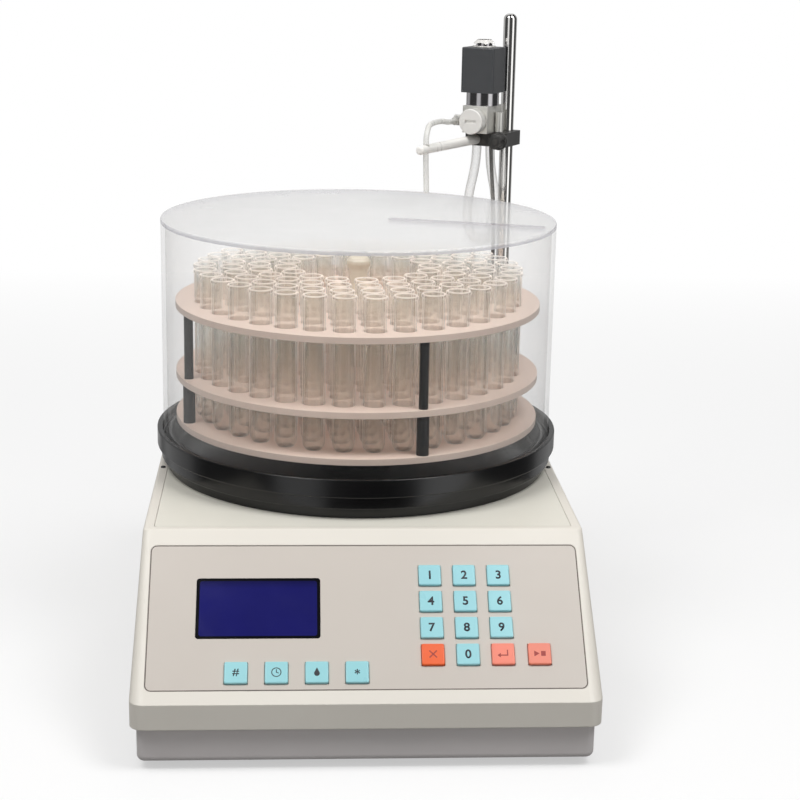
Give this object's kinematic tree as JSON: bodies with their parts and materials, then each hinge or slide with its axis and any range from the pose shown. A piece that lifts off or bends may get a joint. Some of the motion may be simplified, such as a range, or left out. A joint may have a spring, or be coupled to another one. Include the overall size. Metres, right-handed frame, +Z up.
{
  "type": "fraction collector",
  "caption": "Bench-top fraction collector: sloping keypad case, black drip dish, clear slotted cover, turning test-tube rack and a rod-mounted valve head with a drip arm.",
  "frame": {"origin": "on the bench under the middle of the case", "axes": "+Z up, -Y towards the user and the key panel, +X to the user's right; the turntable's axis is parallel to Z at y +40 mm"},
  "size_m": [0.285, 0.4, 0.4326],
  "materials": {
    "shell": "fine-grained, satin",
    "base": "fine-grained",
    "deck": "satin",
    "screw": "plated",
    "foot": "matt",
    "panel": "printed overlay, satin",
    "window": "clear",
    "display": "lit blue",
    "pcb": "soldered board",
    "key_blue": "satin",
    "key_red": "satin",
    "key_salmon": "satin",
    "dish": "glossy black",
    "clear": "clear acrylic",
    "rack": "sheet, satin",
    "post": "satin",
    "handle": "satin",
    "tube": "clear",
    "metal": "machined",
    "bearing": "ground",
    "gear": "moulded",
    "motor": "satin",
    "pinion": "machined",
    "chrome": "polished",
    "black": "satin",
    "steel": "machined",
    "coil": "satin",
    "white": "satin",
    "silicone": "translucent",
    "cable": "satin",
    "inlet": "satin",
    "iron": "laminated"
  },
  "bodies": {
    "case": {"base_tray": "base", "upper_shell": "shell", "deck_plate": "deck", "case_screws": "screw", "rubber_feet": "foot", "panel_plate": "panel", "display_window": "window", "display_module": "display", "keypad_board": "pcb", "drip_tray": "dish", "spindle_bearings": "bearing", "drive_motor": "motor", "swing_motor": "motor", "mains_inlet": "inlet", "control_board": "pcb", "power_transformer": "iron"},
    "rack": {"turntable": "metal", "drive_gear": "gear", "rack_bottom_disc": "rack", "rack_middle_disc": "rack", "rack_top_disc": "rack", "rack_posts": "post", "rack_handle": "handle", "test_tubes": "tube"},
    "drive_pinion": {"drive_pinion": "pinion"},
    "swing_pinion": {"swing_pinion": "pinion"},
    "rod": {"stand_rod": "chrome", "rod_turret": "black", "valve_cable": "cable"},
    "head": {"boss_head": "black", "valve_block": "steel", "valve_bonnet": "steel", "coil_housing": "coil", "coil_nut": "steel", "dropper_arm": "white", "drop_tube": "silicone", "hose_loop": "silicone"},
    "clamp_screw": {"clamp_screw": "black"},
    "flow_knob": {"flow_knob": "steel"},
    "valve_plunger": {"valve_plunger": "steel"},
    "cover": {"cover_wall": "clear", "cover_lid": "clear"},
    "power_rocker": {"power_rocker": "inlet"},
    "key_1": {"key_1": "key_blue"},
    "key_2": {"key_2": "key_blue"},
    "key_3": {"key_3": "key_blue"},
    "key_4": {"key_4": "key_blue"},
    "key_5": {"key_5": "key_blue"},
    "key_6": {"key_6": "key_blue"},
    "key_7": {"key_7": "key_blue"},
    "key_8": {"key_8": "key_blue"},
    "key_9": {"key_9": "key_blue"},
    "key_clear": {"key_clear": "key_red"},
    "key_0": {"key_0": "key_blue"},
    "key_enter": {"key_enter": "key_red"},
    "key_start_stop": {"key_start_stop": "key_salmon"},
    "key_hash": {"key_hash": "key_blue"},
    "key_set_time": {"key_set_time": "key_blue"},
    "key_set_drop": {"key_set_drop": "key_blue"},
    "key_star": {"key_star": "key_blue"}
  },
  "joints": [
    {"name": "turntable_turn", "type": "hinge", "parent": "case", "child": "rack", "pos_m": [0, 0.04, 0.1246], "axis": [0, 0, 1], "continuous": true},
    {"name": "drive_pinion_turn", "type": "hinge", "parent": "case", "child": "drive_pinion", "pos_m": [-0.04933, 0.02204, 0.0846], "axis": [0, 0, 1], "continuous": true},
    {"name": "rod_swing", "type": "hinge", "parent": "case", "child": "rod", "pos_m": [0.116, 0.168, 0.1246], "axis": [0, 0, 1], "range_deg": [-75, 3]},
    {"name": "swing_pinion_turn", "type": "hinge", "parent": "case", "child": "swing_pinion", "pos_m": [0.091, 0.168, 0.0916], "axis": [0, 0, 1], "range_deg": [-3, 51]},
    {"name": "head_height", "type": "slide", "parent": "rod", "child": "head", "axis": [0, 0, 1], "range_m": [-0.006, 0.07], "deforming": ["valve_cable"]},
    {"name": "clamp_screw_turn", "type": "hinge", "parent": "head", "child": "clamp_screw", "pos_m": [0.10858, 0.1475, 0.3403], "axis": [-0.4909, -0.8712, 0], "range_deg": [-180, 180]},
    {"name": "flow_knob_turn", "type": "hinge", "parent": "head", "child": "flow_knob", "pos_m": [0.0891, 0.14471, 0.3551], "axis": [-0.4909, -0.8712, 0], "range_deg": [-150, 150]},
    {"name": "plunger_lift", "type": "slide", "parent": "head", "child": "valve_plunger", "axis": [0, 0, 1], "range_m": [0, 0.0015], "stiffness_N_per_m": 600, "springref_m": -0.002},
    {"name": "cover_turn", "type": "hinge", "parent": "case", "child": "cover", "pos_m": [0, 0.04, 0.1846], "axis": [0, 0, 1], "continuous": true},
    {"name": "power_rocker_tilt", "type": "hinge", "parent": "case", "child": "power_rocker", "pos_m": [-0.064, 0.1965, 0.082], "axis": [1, 0, 0], "range_deg": [-14, 0]},
    {"name": "key_1_press", "type": "slide", "parent": "case", "child": "key_1", "axis": [0, 0.6826, -0.7308], "range_m": [0, 0.0013], "stiffness_N_per_m": 300, "springref_m": -0.0012},
    {"name": "key_2_press", "type": "slide", "parent": "case", "child": "key_2", "axis": [0, 0.6826, -0.7308], "range_m": [0, 0.0013], "stiffness_N_per_m": 300, "springref_m": -0.0012},
    {"name": "key_3_press", "type": "slide", "parent": "case", "child": "key_3", "axis": [0, 0.6826, -0.7308], "range_m": [0, 0.0013], "stiffness_N_per_m": 300, "springref_m": -0.0012},
    {"name": "key_4_press", "type": "slide", "parent": "case", "child": "key_4", "axis": [0, 0.6826, -0.7308], "range_m": [0, 0.0013], "stiffness_N_per_m": 300, "springref_m": -0.0012},
    {"name": "key_5_press", "type": "slide", "parent": "case", "child": "key_5", "axis": [0, 0.6826, -0.7308], "range_m": [0, 0.0013], "stiffness_N_per_m": 300, "springref_m": -0.0012},
    {"name": "key_6_press", "type": "slide", "parent": "case", "child": "key_6", "axis": [0, 0.6826, -0.7308], "range_m": [0, 0.0013], "stiffness_N_per_m": 300, "springref_m": -0.0012},
    {"name": "key_7_press", "type": "slide", "parent": "case", "child": "key_7", "axis": [0, 0.6826, -0.7308], "range_m": [0, 0.0013], "stiffness_N_per_m": 300, "springref_m": -0.0012},
    {"name": "key_8_press", "type": "slide", "parent": "case", "child": "key_8", "axis": [0, 0.6826, -0.7308], "range_m": [0, 0.0013], "stiffness_N_per_m": 300, "springref_m": -0.0012},
    {"name": "key_9_press", "type": "slide", "parent": "case", "child": "key_9", "axis": [0, 0.6826, -0.7308], "range_m": [0, 0.0013], "stiffness_N_per_m": 300, "springref_m": -0.0012},
    {"name": "key_clear_press", "type": "slide", "parent": "case", "child": "key_clear", "axis": [0, 0.6826, -0.7308], "range_m": [0, 0.0013], "stiffness_N_per_m": 300, "springref_m": -0.0012},
    {"name": "key_0_press", "type": "slide", "parent": "case", "child": "key_0", "axis": [0, 0.6826, -0.7308], "range_m": [0, 0.0013], "stiffness_N_per_m": 300, "springref_m": -0.0012},
    {"name": "key_enter_press", "type": "slide", "parent": "case", "child": "key_enter", "axis": [0, 0.6826, -0.7308], "range_m": [0, 0.0013], "stiffness_N_per_m": 300, "springref_m": -0.0012},
    {"name": "key_start_stop_press", "type": "slide", "parent": "case", "child": "key_start_stop", "axis": [0, 0.6826, -0.7308], "range_m": [0, 0.0013], "stiffness_N_per_m": 300, "springref_m": -0.0012},
    {"name": "key_hash_press", "type": "slide", "parent": "case", "child": "key_hash", "axis": [0, 0.6826, -0.7308], "range_m": [0, 0.0013], "stiffness_N_per_m": 300, "springref_m": -0.0012},
    {"name": "key_set_time_press", "type": "slide", "parent": "case", "child": "key_set_time", "axis": [0, 0.6826, -0.7308], "range_m": [0, 0.0013], "stiffness_N_per_m": 300, "springref_m": -0.0012},
    {"name": "key_set_drop_press", "type": "slide", "parent": "case", "child": "key_set_drop", "axis": [0, 0.6826, -0.7308], "range_m": [0, 0.0013], "stiffness_N_per_m": 300, "springref_m": -0.0012},
    {"name": "key_star_press", "type": "slide", "parent": "case", "child": "key_star", "axis": [0, 0.6826, -0.7308], "range_m": [0, 0.0013], "stiffness_N_per_m": 300, "springref_m": -0.0012}
  ],
  "couplings": [
    {"joint": "drive_pinion_turn", "follows": "turntable_turn", "ratio": -6},
    {"joint": "swing_pinion_turn", "follows": "rod_swing", "ratio": -0.66667}
  ]
}
